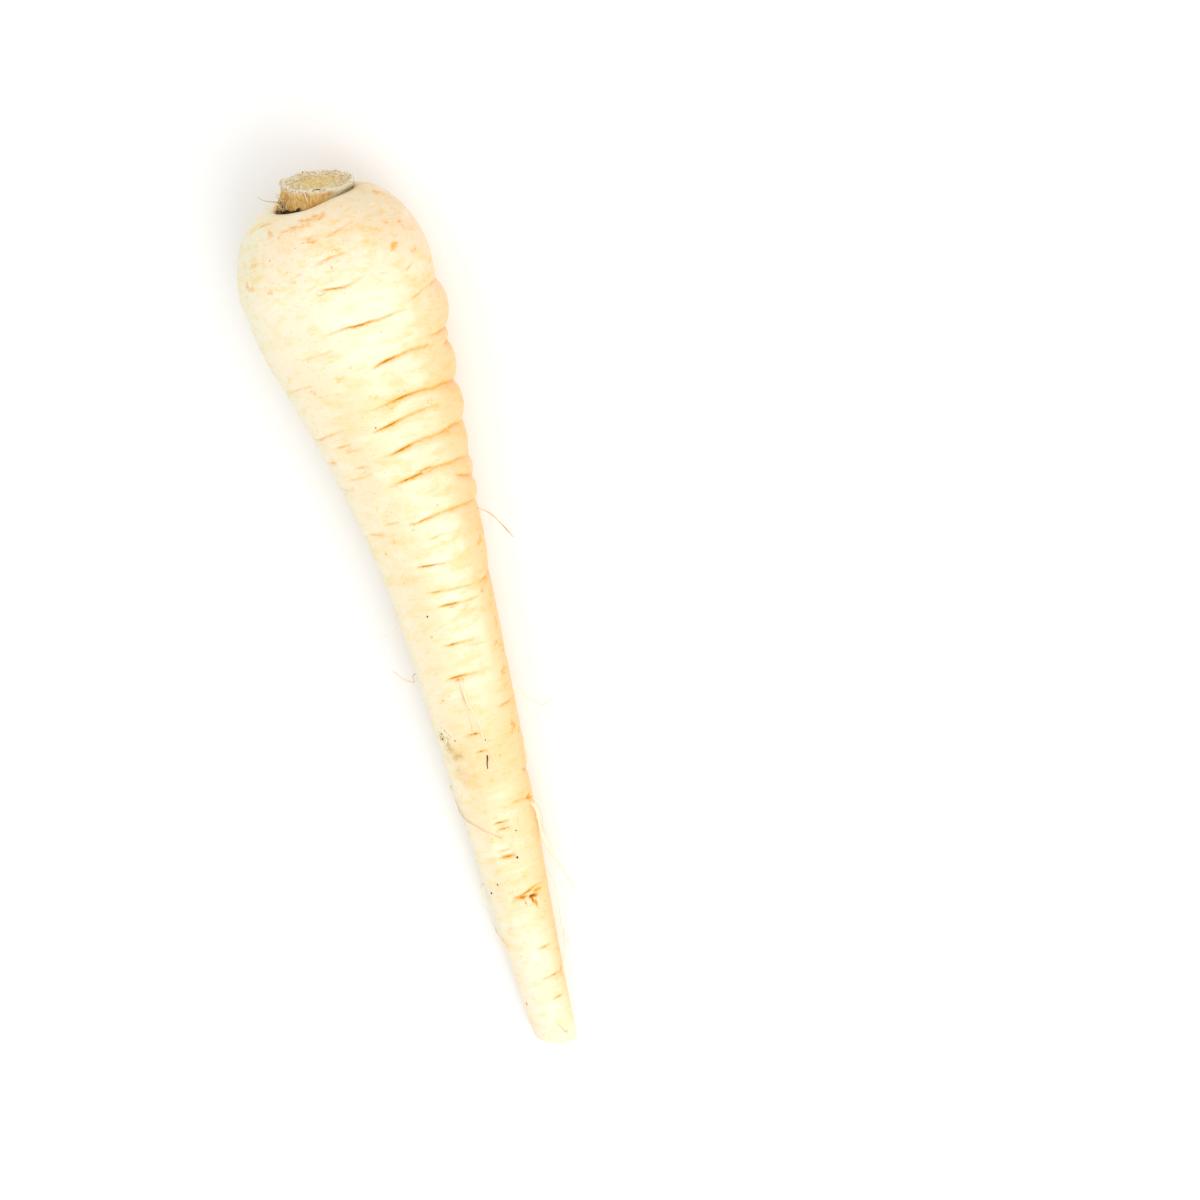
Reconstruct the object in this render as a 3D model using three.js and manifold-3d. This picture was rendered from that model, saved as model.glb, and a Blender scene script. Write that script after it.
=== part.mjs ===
// A fresh parsnip lying on its side, at its real size in millimetres.
// It is one tapered taproot, with a round shoulder, a hollowed crown, crosswise wrinkles and fine side roots,
// and the cut stump of its leaf stalks, which stands in the crown.
// +X runs from the crown to the tip, +Z is up, and the underside rests on z = 0.
// A place on the taproot is given by its distance from the crown rim, measured along the root,
// and by its angle in degrees round the root: 0 is the top and 90 the +Y side.
import * as THREE from "three";
import { mergeVertices } from "three/addons/utils/BufferGeometryUtils.js";
import Module from "manifold-3d";

const wasm = await Module();
wasm.setup();

// ---------- driving dimensions ----------
const ROOT_LENGTH = 226; // crown rim to the middle of the cut tip
const SIDES = 34; // facets round the taproot
const ROW_STEP = 1.8; // distance between two rings of facets along it
const SHOULDER_ROWS = 12; // rings on the shoulder, closer together towards the rim

// The shoulder rounds from the crown rim to the widest place.
const RIM_RADIUS = 12;
const SHOULDER = { length: 20, radius: 24.2, roundness: 1.7 };

// The body behind the shoulder: [distance, radius, sideways drift of the middle line].
const BODY = [
  [SHOULDER.length, SHOULDER.radius, -1.5],
  [35, 23.2, -0.9],
  [50, 20.2, 0],
  [75, 16.1, 1.4],
  [100, 12.9, 2.1],
  [150, 9.8, 0.8],
  [190, 7.2, -0.6],
  [ROOT_LENGTH, 5, -1.4],
];

const REST_SHOULDER = 26; // where the shoulder touches the surface
const REST_TIP = 216; // where the tip touches it
const REST_SINK = 0.25; // how much of the underside is pressed flat at both

const TIP_EDGE = 1.4; // rounding of the cut tip's edge
const TIP_SLANT = 0.3; // how far the cut tip leans, per millimetre to the side
const TIP_SLANT_START = 10; // how far before the end the slant sets in

const SOCKET_RADIUS = 9.6; // the hollow that the stump grows from
const SOCKET_DEPTH = 4.5;
const RIM_BEVEL = 0.3; // the broken inner edge of the crown's rim
const CROWN_DIP = { angle: -45, reach: 80, depth: 1 }; // the low side of the crown's rim
const CLEARANCE = 0.3; // between the stump and the hollow

const STUMP = {
  baseRadius: 9.3,
  topRadius: 8.8,
  height: 4.1, // from the plane of the crown rim to the middle of the cut's rim
  topShift: 2.1, // how far the top stands to the +Y side of the foot
  slantUp: 7.3, // degrees that the cut face looks up
  slantSide: 10.5, // degrees that it looks to the -Y side
  rim: 0.5, // rounding of the cut's rim
  dish: 0.6, // how deep the cut face is hollowed
  ribs: 9, // bases of leaf stalks round it
  ribHeight: 0.2,
};
const STUMP_SIDES = 36;

// Low swellings that keep the section from being a true circle: heights, and how far along each one turns.
const SWELL = { base: 0.4, broad: 0.3, broadTurn: 31, fine: 0.2, fineTurn: 17 };
const RELIEF_START = [3, 12]; // the distances between which swellings and wrinkles set in

// Wrinkles on the upper side: [distance, middle angle, reach to each side, drift, bow, depth].
// Drift is how much further along the root it runs for each radian round it, and bow for each radian squared.
const UPPER_WRINKLES = [
  [6.5, 14, 15, -5, 0, 0.3],
  [12, 2, 15, -1, 0, 0.4],
  [19, 4, 20, -0.5, -12, 0.5],
  [27, 85, 34, 0, 0, 0.7],
  [29.5, 14, 36, 0, 1, 0.7],
  [39, 80, 34, 2.5, 0, 0.7],
  [39.5, 30, 32, -0.5, 6, 0.95],
  [42.5, -52, 24, -3.5, 0, 0.35],
  [42.8, 86, 22, 2.5, 0, 0.6],
  [50.8, 48, 66, 1.5, 1.8, 1.15],
  [55.5, 22, 34, -1.5, 1.5, 0.7],
  [56, -50, 28, -3, 0, 0.5],
  [62.4, 42, 64, 0.2, 1.2, 1.1],
  [67.5, -34, 18, -2.5, 0, 0.4],
  [70.6, 38, 62, 0.5, 1.5, 0.9],
  [76, 74, 26, 5, 0, 0.7],
  [82, 44, 62, 1, 1, 0.95],
  [83.5, -46, 16, 0, 0, 0.35],
  [94, 4, 24, 1.5, 1, 0.6],
  [101.5, 20, 34, 1, 0, 0.5],
  [102.5, 74, 34, -0.5, 0, 0.75],
  [105.5, 24, 32, 1, 0, 0.55],
  [115, 10, 30, 0, 0, 0.5],
  [124, 2, 32, 0, 1, 0.75],
  [134.5, 60, 26, 0.5, 0, 0.5],
  [139.5, -8, 16, 0, 0, 0.4],
  [144.5, 2, 15, 0, 0, 0.3],
  [154, 82, 30, 3, 0, 0.6],
  [160.5, 52, 32, 1.5, 0, 0.6],
  [163.5, 3, 18, 0, 0, 0.4],
  [173, 1, 20, 0, 0, 0.5],
  [184, 24, 52, -1.5, 1, 1],
  [199.5, 32, 28, 1, 0, 0.4],
  [207.5, 36, 40, 0, 0, 0.5],
  [214, 34, 26, 0, 0, 0.4],
];
const FULL_SHARE = 0.35; // share of its reach over which a wrinkle has its full depth
const WRINKLE_WIDTH = 1.5; // half width of the crease itself
const PILLOW_WIDTH = 4; // half width of the swelling that falls away to the crease
const PILLOW_SHARE = 0.6; // share of the depth that the swelling takes
const WRINKLE_STRENGTH = 1.2; // scales every wrinkle's depth

// Pillows that scallop the +Y flank: [distance of the wrinkle above each one, how far it stands out].
const FLANK_PILLOWS = [
  [27, 1.4],
  [39, 0.15],
  [42.8, 1.1],
  [50.8, 1.2],
  [62.4, 0.6],
  [70.6, 0.6],
  [76, 0.8],
  [82, 0.5],
  [102.5, 0],
];
const FLANK = { angle: 98, reach: 44, sink: 0.2 }; // sink is the share of a pillow that lies below the skin

// Wrinkles on the other sides stand in rows, one above each line of side roots.
// Each of these ranges is [least, most], and each wrinkle draws its own value.
const FAR_ROWS = [-105, -150, 165, 125]; // angles of the rows
const FAR_START = [27, 38]; // distance of a row's first wrinkle
const FAR_SCATTER = [-12, 12]; // degrees to the side of its row
const FAR_DRIFT = [-1.5, 1.5];
const FAR_REACH = [24, 44];
const FAR_DEPTH = [0.35, 0.95];
const FAR_GAP = [6.5, 12]; // distance between two wrinkles on the shoulder
const SMALLEST = 0.35; // how much smaller than there the gaps and depths get where the root is thin
const SEED = 20;

// Side roots: thickness at the skin, and for each bend [distance, angle, height above the skin].
const SIDE_ROOTS = [
  { thick: 1, bends: [[84, 79, -1.5], [86, 84, 0.6], [88, 88, 2.5], [91.5, 90, 4.6], [95.5, 92, 7.2]] },
  { thick: 0.9, bends: [[109.5, -81, -1.5], [111, -86, 1.2], [112, -90, 3.6], [112.5, -92, 5.6]] },
  {
    thick: 0.9,
    bends: [[122, -84, -1.5], [124, -90, 0.6], [125.5, -94, 0.9], [124.5, -96, 2.8], [121, -94, 5.6]],
  },
  {
    thick: 1.1,
    bends: [[131.5, 80, -1.5], [134.5, 86, 1.6], [137, 90, 3.3], [139.5, 92, 5.6], [140.5, 93, 7.8]],
  },
  { thick: 0.8, bends: [[138, 91, 4.2], [138.5, 92, 6.6], [137.5, 94, 10.6]] },
  {
    thick: 1.2,
    bends: [[124, -2, -1.5], [129.5, -1, 0.5], [136, 8, 0.4], [141, 6, 0.4], [146, 15, 0.3], [151, 22, 0.4]],
  },
  {
    thick: 1,
    bends: [[153, -76, -1.4], [158, -82, 0.4], [161, -67, 0.3], [163, -46, 0.3], [167, -10, 0.3]],
  },
  {
    thick: 1.3,
    bends: [[161, 62, -1.6], [164, 66, 0.4], [169, 74, 0.6], [175, 87, 1], [181, 91, 3.4], [190, 94, 7.2]],
  },
  { thick: 0.8, bends: [[162.5, 82, -1.4], [165.5, 90, 1.2], [169, 92, 1.7], [174, 91, 2.2]] },
  {
    thick: 0.9,
    bends: [[180, -80, -1.4], [183.5, -90, 0.6], [186, -91, 0.4], [193, -90, 0.6], [198, -88, 0.7]],
  },
  { thick: 0.8, bends: [[195, 84, -1.4], [198, 90, 1.2], [202, 92, 3.6]] },
];
const SIDE_ROOT_TIP = 0.62; // thickness at the free end
const SIDE_ROOT_SIDES = 6;
const SIDE_ROOT_STEP = 2.4; // length of one straight stretch

const COLOURS = { skin: 0xf3e3b4, stump: 0xb9a878 };

// ---------- helpers ----------
const radians = THREE.MathUtils.degToRad;
const { clamp, euclideanModulo, lerp, smoothstep } = THREE.MathUtils;

// The same numbers from 0 to 1 on every run.
function randomFrom(seed) {
  let state = seed;
  return () => {
    state = (state + 0x6d2b79f5) | 0;
    let mixed = Math.imul(state ^ (state >>> 15), 1 | state);
    mixed = (mixed + Math.imul(mixed ^ (mixed >>> 7), 61 | mixed)) ^ mixed;
    return ((mixed ^ (mixed >>> 14)) >>> 0) / 2 ** 32;
  };
}

// A smooth curve through rows of [x, ...values], read at x in one column.
function smoothAt(rows, x, column) {
  const last = rows.length - 1;
  const inside = clamp(x, rows[0][0], rows[last][0]);
  const i = Math.min(last - 1, rows.findLastIndex((row) => row[0] <= inside));
  const slope = (k) => {
    const before = rows[Math.max(k - 1, 0)];
    const after = rows[Math.min(k + 1, last)];
    return (after[column] - before[column]) / (after[0] - before[0]);
  };
  const span = rows[i + 1][0] - rows[i][0];
  const t = (inside - rows[i][0]) / span;
  const rise = rows[i + 1][column] - rows[i][column];
  const bend = t * (1 - t) * ((1 - t) * (slope(i) * span - rise) + t * (rise - slope(i + 1) * span));
  return rows[i][column] + t * rise + bend;
}

function radiusAt(along) {
  const left = clamp(1 - along / SHOULDER.length, 0, 1);
  if (left === 0) return smoothAt(BODY, along, 1);
  const roundness = SHOULDER.roundness;
  return lerp(RIM_RADIUS, SHOULDER.radius, (1 - left ** roundness) ** (1 / roundness));
}

const driftAt = (along) => smoothAt(BODY, along, 2);

// The angle from a to b in degrees, the short way round.
const turn = (a, b) => euclideanModulo(b - a + 180, 360) - 180;

// 1 round the middle of a stretch of angles, falling smoothly to 0 at its two ends.
const windowAt = (middle, reach, angle) =>
  smoothstep(1 - Math.abs(turn(middle, angle)) / reach, 0, 1 - FULL_SHARE);

// A closed geometry as a solid for boolean work.
function solidOf(geometry) {
  const bare = geometry.clone();
  bare.deleteAttribute("normal");
  bare.deleteAttribute("uv");
  const merged = mergeVertices(bare, 1e-4);
  return new wasm.Manifold(
    new wasm.Mesh({
      numProp: 3,
      vertProperties: new Float32Array(merged.attributes.position.array),
      triVerts: new Uint32Array(merged.index.array),
    }),
  );
}

function geometryOf(solid) {
  const mesh = solid.getMesh();
  const geometry = new THREE.BufferGeometry();
  geometry.setAttribute("position", new THREE.BufferAttribute(mesh.vertProperties, 3));
  geometry.setIndex(new THREE.BufferAttribute(mesh.triVerts, 1));
  geometry.computeVertexNormals();
  return geometry;
}

// ---------- how the root lies ----------
// Its middle line slopes down to the tip, so that the shoulder and the tip both touch the surface.
const tilt = Math.atan2(radiusAt(REST_SHOULDER) - radiusAt(REST_TIP), REST_TIP - REST_SHOULDER);
const lift = REST_SHOULDER * Math.sin(tilt) + radiusAt(REST_SHOULDER) * Math.cos(tilt) - REST_SINK;

// The point at a distance from the crown rim, an angle, and a radius about the middle line.
function place(along, angle, radius) {
  const side = radius * Math.sin(radians(angle));
  const up = radius * Math.cos(radians(angle));
  const run = along + TIP_SLANT * side * smoothstep(along, ROOT_LENGTH - TIP_SLANT_START, ROOT_LENGTH);
  return new THREE.Vector3(
    run * Math.cos(tilt) + up * Math.sin(tilt),
    driftAt(along) + side,
    lift - run * Math.sin(tilt) + up * Math.cos(tilt),
  );
}

// ---------- the taproot ----------
function farWrinkles() {
  const random = randomFrom(SEED);
  const found = [];
  for (const row of FAR_ROWS) {
    let along = lerp(...FAR_START, random());
    while (along < REST_TIP) {
      const size = lerp(SMALLEST, 1, radiusAt(along) / radiusAt(REST_SHOULDER));
      const angle = row + lerp(...FAR_SCATTER, random());
      const drift = lerp(...FAR_DRIFT, random());
      const reach = lerp(...FAR_REACH, random());
      found.push([along, angle, reach, drift, 0, size * lerp(...FAR_DEPTH, random())]);
      along += size * lerp(...FAR_GAP, random());
    }
  }
  return found;
}

const wrinkles = [...UPPER_WRINKLES, ...farWrinkles()];
const flankWrinkles = FLANK_PILLOWS.map(([at]) => UPPER_WRINKLES.find((wrinkle) => wrinkle[0] === at));

// The distance at which a wrinkle crosses an angle.
function crossingAt([at, middle, , drift, bow], angle) {
  const away = radians(turn(middle, angle));
  return at + drift * away + bow * away ** 2;
}

// Rounded bulges between the wrinkles that cross the +Y flank.
function pillowAt(along, angle) {
  let height = 0;
  for (let i = 0; i + 1 < flankWrinkles.length; i++) {
    const start = crossingAt(flankWrinkles[i], angle);
    const share = (along - start) / (crossingAt(flankWrinkles[i + 1], angle) - start);
    if (share > 0 && share < 1) height += FLANK_PILLOWS[i][1] * (4 * share * (1 - share) - FLANK.sink);
  }
  return height * windowAt(FLANK.angle, FLANK.reach, angle);
}

// How far the skin stands off the smooth outline: low swellings and pillows, less the wrinkles.
function reliefAt(along, angle) {
  const size = radiusAt(along) / radiusAt(REST_SHOULDER);
  const broad = SWELL.broad * Math.sin(radians(2 * angle) + along / SWELL.broadTurn);
  const fine = SWELL.fine * Math.sin(radians(3 * angle) - along / SWELL.fineTurn);
  const swelling = SWELL.base + size * (broad + fine);
  let cut = 0;
  for (const wrinkle of wrinkles) {
    const [, middle, reach, , , depth] = wrinkle;
    const gap = Math.abs(along - crossingAt(wrinkle, angle));
    const crease = (1 - PILLOW_SHARE) * Math.exp(-((gap / WRINKLE_WIDTH) ** 2));
    cut += depth * windowAt(middle, reach, angle) * (crease + PILLOW_SHARE * Math.exp(-gap / PILLOW_WIDTH));
  }
  return smoothstep(along, ...RELIEF_START) * (swelling + pillowAt(along, angle) - WRINKLE_STRENGTH * cut);
}

// The lengthwise profile as [radius, distance, whether it is outer skin], from the tip back to the hollow.
function taprootProfile() {
  const profile = [
    [0, SOCKET_DEPTH, false],
    [SOCKET_RADIUS * 0.5, SOCKET_DEPTH, false],
    [SOCKET_RADIUS, SOCKET_DEPTH, false],
    [SOCKET_RADIUS, SOCKET_DEPTH / 2, false],
    [SOCKET_RADIUS + RIM_BEVEL, RIM_BEVEL, false],
  ];
  for (let i = 0; i < SHOULDER_ROWS; i++) {
    const along = SHOULDER.length * (i / SHOULDER_ROWS) ** 2;
    profile.push([radiusAt(along), along, true]);
  }
  const skinEnd = ROOT_LENGTH - TIP_EDGE;
  const rows = Math.round((skinEnd - SHOULDER.length) / ROW_STEP);
  for (let i = 0; i <= rows; i++) {
    const along = lerp(SHOULDER.length, skinEnd, i / rows);
    profile.push([radiusAt(along), along, true]);
  }
  for (const corner of [30, 60, 90]) {
    const edge = radiusAt(skinEnd) - TIP_EDGE * (1 - Math.cos(radians(corner)));
    profile.push([edge, skinEnd + TIP_EDGE * Math.sin(radians(corner)), true]);
  }
  profile.push([0, ROOT_LENGTH, false]);
  return profile.reverse();
}

function makeTaproot() {
  const profile = taprootProfile();
  const geometry = new THREE.LatheGeometry(
    profile.map(([radius, along]) => new THREE.Vector2(radius, along)),
    SIDES,
  );
  const position = geometry.attributes.position;
  for (let i = 0; i < position.count; i++) {
    const [radius, along, isSkin] = profile[i % profile.length];
    const angle = ((Math.floor(i / profile.length) % SIDES) * 360) / SIDES;
    const dip = windowAt(CROWN_DIP.angle, CROWN_DIP.reach, angle) * CROWN_DIP.depth;
    const nearRim = smoothstep(SOCKET_DEPTH - along, 0, SOCKET_DEPTH);
    const point = place(along + dip * nearRim, angle, isSkin ? radius + reliefAt(along, angle) : radius);
    position.setXYZ(i, point.x, point.y, Math.max(point.z, 0));
  }
  return geometry;
}

// ---------- the side roots ----------
// A closed tapered rod, bent along a curve through the points.
function taperedRod(points, thickness) {
  const curve = new THREE.CatmullRomCurve3(points);
  const stretches = Math.max(3, Math.round(curve.getLength() / SIDE_ROOT_STEP));
  const rod = new THREE.CylinderGeometry(0.5, 0.5, 1, SIDE_ROOT_SIDES, stretches);
  const frames = curve.computeFrenetFrames(stretches);
  const position = rod.attributes.position;
  for (let i = 0; i < position.count; i++) {
    const step = Math.round((position.getY(i) + 0.5) * stretches);
    const thick = lerp(thickness, SIDE_ROOT_TIP, step / stretches);
    const point = curve
      .getPointAt(step / stretches)
      .addScaledVector(frames.normals[step], position.getX(i) * thick)
      .addScaledVector(frames.binormals[step], -position.getZ(i) * thick);
    position.setXYZ(i, point.x, point.y, point.z);
  }
  return rod;
}

function makeSideRoots() {
  const onRoot = ([along, angle, height]) =>
    place(along, angle, radiusAt(along) + reliefAt(along, angle) + height);
  return SIDE_ROOTS.map(({ thick, bends }) => taperedRod(bends.map(onRoot), thick));
}

// ---------- the leaf stump ----------
function makeStump() {
  const { baseRadius, topRadius, height, rim, dish } = STUMP;
  const foot = SOCKET_DEPTH - CLEARANCE;
  const profile = [
    [0, foot],
    [baseRadius * 0.6, foot],
    [baseRadius, foot],
    [baseRadius, foot / 2],
    [baseRadius, foot / 4],
  ];
  // The side narrows smoothly from there to the cut.
  const sideEnd = -height + rim;
  for (const share of [0.25, 0.5, 0.75, 1]) {
    profile.push([lerp(baseRadius, topRadius, smoothstep(share, 0, 1)), lerp(foot / 4, sideEnd, share)]);
  }
  profile.push(
    [topRadius - rim, -height],
    [topRadius - 3 * rim, -height + dish / 3],
    [topRadius * 0.5, -height + dish],
    [0, -height + dish],
  );
  const geometry = new THREE.LatheGeometry(
    profile.map(([radius, along]) => new THREE.Vector2(radius, along)),
    STUMP_SIDES,
  );
  const position = geometry.attributes.position;
  for (let i = 0; i < position.count; i++) {
    const [flat, along] = profile[i % profile.length];
    const angle = ((Math.floor(i / profile.length) % STUMP_SIDES) * 360) / STUMP_SIDES;
    const out = smoothstep(-along, -0.5, height);
    const rib = STUMP.ribHeight * Math.cos(radians(STUMP.ribs * angle)) * (flat / topRadius) * out;
    const radius = flat + rib;
    const up = radius * Math.cos(radians(angle));
    const side = radius * Math.sin(radians(angle));
    const slant = up * Math.tan(radians(STUMP.slantUp)) + side * Math.tan(radians(STUMP.slantSide));
    const point = place(along + slant * out, angle, radius);
    position.setXYZ(i, point.x, point.y + STUMP.topShift * out, point.z);
  }
  return geometry;
}

// ---------- the model ----------
const group = new THREE.Group();

function addPart(name, solid, colour, roughness) {
  const material = new THREE.MeshStandardMaterial({ color: colour, roughness, metalness: 0 });
  const mesh = new THREE.Mesh(geometryOf(solid), material);
  mesh.name = name;
  group.add(mesh);
}

const sideRoots = makeSideRoots().map(solidOf);
const taproot = sideRoots.reduce((whole, root) => whole.add(root), solidOf(makeTaproot()));
addPart("taproot", taproot, COLOURS.skin, 0.55);
addPart("leaf_stump", solidOf(makeStump()), COLOURS.stump, 0.9);

// The origin is the middle of the outer box, on the surface that the root lies on.
const box = new THREE.Box3().setFromObject(group);
const middle = box.getCenter(new THREE.Vector3());
group.position.set(-middle.x, -middle.y, -box.min.z);

export default group;
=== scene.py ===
"""A fresh parsnip on a white surface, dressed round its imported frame.

The root is built again by the formula of its solid, with finer wrinkles. Its skin, stains, side roots and
leaf stump are made here. Lists are in millimetres and degrees, and objects are in metres.
A place on the root is a distance from the crown rim and an angle round the root: 0 is the top, and 90 is the
+Y side.
"""
import math
from collections import namedtuple

import bpy
import numpy as np
from mathutils import Matrix, Vector


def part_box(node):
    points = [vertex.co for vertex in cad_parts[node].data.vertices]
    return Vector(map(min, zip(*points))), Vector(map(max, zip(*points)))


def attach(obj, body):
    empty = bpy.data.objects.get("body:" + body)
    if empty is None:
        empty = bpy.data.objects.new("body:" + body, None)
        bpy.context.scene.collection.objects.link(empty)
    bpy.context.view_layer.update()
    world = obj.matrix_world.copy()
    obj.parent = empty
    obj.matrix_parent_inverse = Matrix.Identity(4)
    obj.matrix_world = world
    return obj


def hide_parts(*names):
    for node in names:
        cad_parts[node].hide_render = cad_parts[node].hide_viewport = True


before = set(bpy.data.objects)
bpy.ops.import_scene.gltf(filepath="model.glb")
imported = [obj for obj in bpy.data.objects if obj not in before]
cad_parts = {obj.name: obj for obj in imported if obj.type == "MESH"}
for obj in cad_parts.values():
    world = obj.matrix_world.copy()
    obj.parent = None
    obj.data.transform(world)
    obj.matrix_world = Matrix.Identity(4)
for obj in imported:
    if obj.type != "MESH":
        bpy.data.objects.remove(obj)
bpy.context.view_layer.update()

MM = 0.001

# ---------- the root's form ----------
ROOT_LENGTH = 226
RIM_RADIUS = 12
SHOULDER_LENGTH, SHOULDER_RADIUS, SHOULDER_ROUNDNESS = 20, 24.2, 1.7
BODY = np.array([
    # distance, radius, sideways drift of the middle line
    (SHOULDER_LENGTH, SHOULDER_RADIUS, -1.5),
    (35, 23.2, -0.9),
    (50, 20.2, 0),
    (75, 16.1, 1.4),
    (100, 12.9, 2.1),
    (150, 9.8, 0.8),
    (190, 7.2, -0.6),
    (ROOT_LENGTH, 5, -1.4),
])
REST_SHOULDER, REST_TIP, REST_SINK = 26, 216, 0.25
TIP_EDGE, TIP_SLANT, TIP_SLANT_START = 1.4, 0.3, 10
SOCKET_RADIUS, SOCKET_DEPTH = 9.6, 4.5
CROWN_DIP, CROWN_DIP_DEPTH = (-45, 80), 1  # middle angle and reach
SWELL_BASE = 0.4
SWELLS = [(0.3, 2, 31), (0.2, 3, -17)]  # height, bulges round the root, distance in which they turn a radian
RELIEF_START = (3, 12)  # the distances between which swellings and wrinkles set in
INSET = 0.12  # keeps the finer skin inside the box of the solid

# Layers of noise over the skin. Each layer: height, size of its lumps, seed.
WANDER = [(0.45, 9, 1), (0.2, 3.2, 2)]  # shifts the wrinkles along the root
LUMPS = [(0.22, 17, 4), (0.1, 7, 5)]
BANDS, BANDS_STRETCH, BANDS_START = [(0.05, 1.3, 6)], (1, 0.16, 0.16), (0, 4)
STAIN_SHIFT = [(0.55, 1.5, 8), (0.3, 0.8, 9)]  # along the root
STAIN_TURN = [(0.8, 2.2, 10), (0.4, 1, 11)]

# A wrinkle crosses the angle "middle" at the distance "along" and reaches so far to each side. Its dark core
# has a middle and a reach of its own, and "dark" is how brown it is. Some drift or bow along the root.
Wrinkle = namedtuple("Wrinkle", "along middle reach depth core core_reach dark drift bow", defaults=(0, 0))
UPPER_WRINKLES = [Wrinkle(*row) for row in (
    (6.5, -6, 12, 0.2, -6, 7, 0.3), (6.5, 14, 15, 0.3, 14, 12, 0.3, -5), (12, 5, 13, 0.4, 3, 8, 0.35, -1),
    (19, 7, 17, 0.5, 2, 11, 0.6, -0.5, -12), (27, 85, 34, 0.7, 92, 16, 0.3),
    (27.5, 51, 11, 0.3, 51, 8, 0.35, -3), (29.5, 14, 36, 0.7, 9, 9, 1, 0, 1),
    (34, -22, 15, 0.25, -22, 8, 0.15, -1.5), (39, 80, 34, 0.7, 66, 12, 0.35, 2.5),
    (39.5, 30, 32, 0.95, 19, 9, 1, -0.5, 6), (42.5, -52, 24, 0.35, -50, 10, 0.15, -3.5),
    (42.8, 86, 22, 0.6, 66, 10, 0.2, 2.5), (50.8, 48, 66, 1.15, 22, 12, 0.8, 1.5, 1.8),
    (55.5, 22, 34, 0.7, 6, 12, 1, -1.5, 1.5), (56, -50, 28, 0.5, -52, 14, 0.3, -3),
    (59, -36, 13, 0.3, -36, 9, 0.4, -2), (60.5, -28, 12, 0.3, -28, 9, 0.25, -2),
    (62.4, 42, 64, 1.1, 10, 11, 1, 0.2, 1.2), (63, -57, 10, 0.25, -57, 8, 0.4),
    (65, -27, 11, 0.3, -27, 7, 0.3), (67.5, -34, 18, 0.4, -34, 10, 0.15, -2.5),
    (70.6, 38, 62, 0.9, 10, 14, 0.95, 0.5, 1.5), (70, 24, 13, 0.4, 24, 10, 0.7),
    (71, -63, 15, 0.3, -63, 8, 0.15), (76, 74, 26, 0.7, 70, 14, 0.4, 5),
    (81, -22, 11, 0.3, -22, 8, 0.3, -1), (82, 44, 62, 0.95, 8, 12, 0.6, 1, 1),
    (83.5, -46, 16, 0.35, -50, 9, 0.3), (87, 14, 12, 0.2, 14, 9, 0.35),
    (94, 4, 24, 0.6, -3, 11, 0.95, 1.5, 1), (101.5, 20, 34, 0.5, -3, 9, 0.6, 1),
    (102.5, 74, 34, 0.75, 72, 16, 0.4, -0.5), (105.5, 24, 32, 0.55, 8, 12, 1, 1),
    (115, 10, 30, 0.5, 0, 9, 0.8), (124, 2, 32, 0.75, -6, 13, 0.95, 0, 1),
    (134.5, 60, 26, 0.5, 58, 14, 0.5, 0.5), (139.5, -8, 16, 0.4, -3, 8, 0.85),
    (144.5, 2, 15, 0.3, 2, 10, 0.6), (154, 82, 30, 0.6, 80, 14, 0.5, 3),
    (160.5, 52, 32, 0.6, 72, 12, 0.8, 1.5), (163.5, 3, 18, 0.4, 1, 10, 0.8),
    (165.5, 6, 17, 0.4, 6, 12, 0.6), (171, -2, 18, 0.3, -4, 14, 0.35), (173, 1, 20, 0.5, 1, 13, 0.95),
    (184, 24, 52, 1, 22, 22, 0.7, -1.5, 1), (199.5, 32, 28, 0.4, 32, 14, 0.5, 1),
    (207.5, 36, 40, 0.5, 42, 20, 0.55), (214, 34, 26, 0.4, 38, 14, 0.6),
    (221.9, 27, 19, 0.3, 30, 14, 0.35, 8),
)]
WRINKLE_STRENGTH = 1.2
FULL_SHARE = 0.35  # share of its reach over which a wrinkle is at its full depth
GROOVE_WIDTH, PILLOW_WIDTH = 0.8, 4
PILLOW_SHARE = 0.6
WRINKLE_END = 5 * PILLOW_WIDTH  # a wrinkle is given up this far from its line
CORE_DEPTH, CORE_WIDTH = 0.3, 0.45  # how much deeper the skin is where a wrinkle is brown
CORE_SPREAD = 1.4  # a core fades out at so many times its reach
CORE_THICK, CORE_THICK_GAIN, CORE_TAPER = 0.05, 0.1, 0.7
LINE_END = (2.4, 1.5)  # gaps over which the coloured line of a wrinkle ends
LINE_STRENGTH, LINE_GAIN = 0.2, 0.7  # for no depth, and more for each millimetre of depth
# Where wrinkles meet, the one with the strongest claim gives the colour.
LINE_CLAIM, CLAIM_WIDTH, LEAST_CLAIM = 0.5, 1.5, 0.02
FAR_OFF = 4  # a gap to the nearest wrinkle is told up to this far

# Pillows that scallop the right flank: the wrinkle above each one, and how far it stands out.
FLANK_PILLOWS = {27: 1.4, 39: 0.15, 42.8: 1.1, 50.8: 1.2, 62.4: 0.6, 70.6: 0.6, 76: 0.8, 82: 0.5, 102.5: 0}
FLANK, FLANK_REACH, FLANK_SINK = 98, 44, 0.2

# Wrinkles on the other sides stand in rows, drawn as in the solid.
FAR_ROWS = (-105, -150, 165, 125)
FAR_START, FAR_SCATTER, FAR_DRIFT = (27, 38), (-12, 12), (-1.5, 1.5)
FAR_REACH, FAR_DEPTH, FAR_GAP = (24, 44), (0.35, 0.95), (6.5, 12)
FAR_CORE, FAR_CORE_REACH = (-0.3, 0.3), (7, 15)
FAR_DARK, FAR_DARK_DEPTH = (0.15, 1), 0.6
SMALLEST, SEED = 0.35, 20

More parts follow.
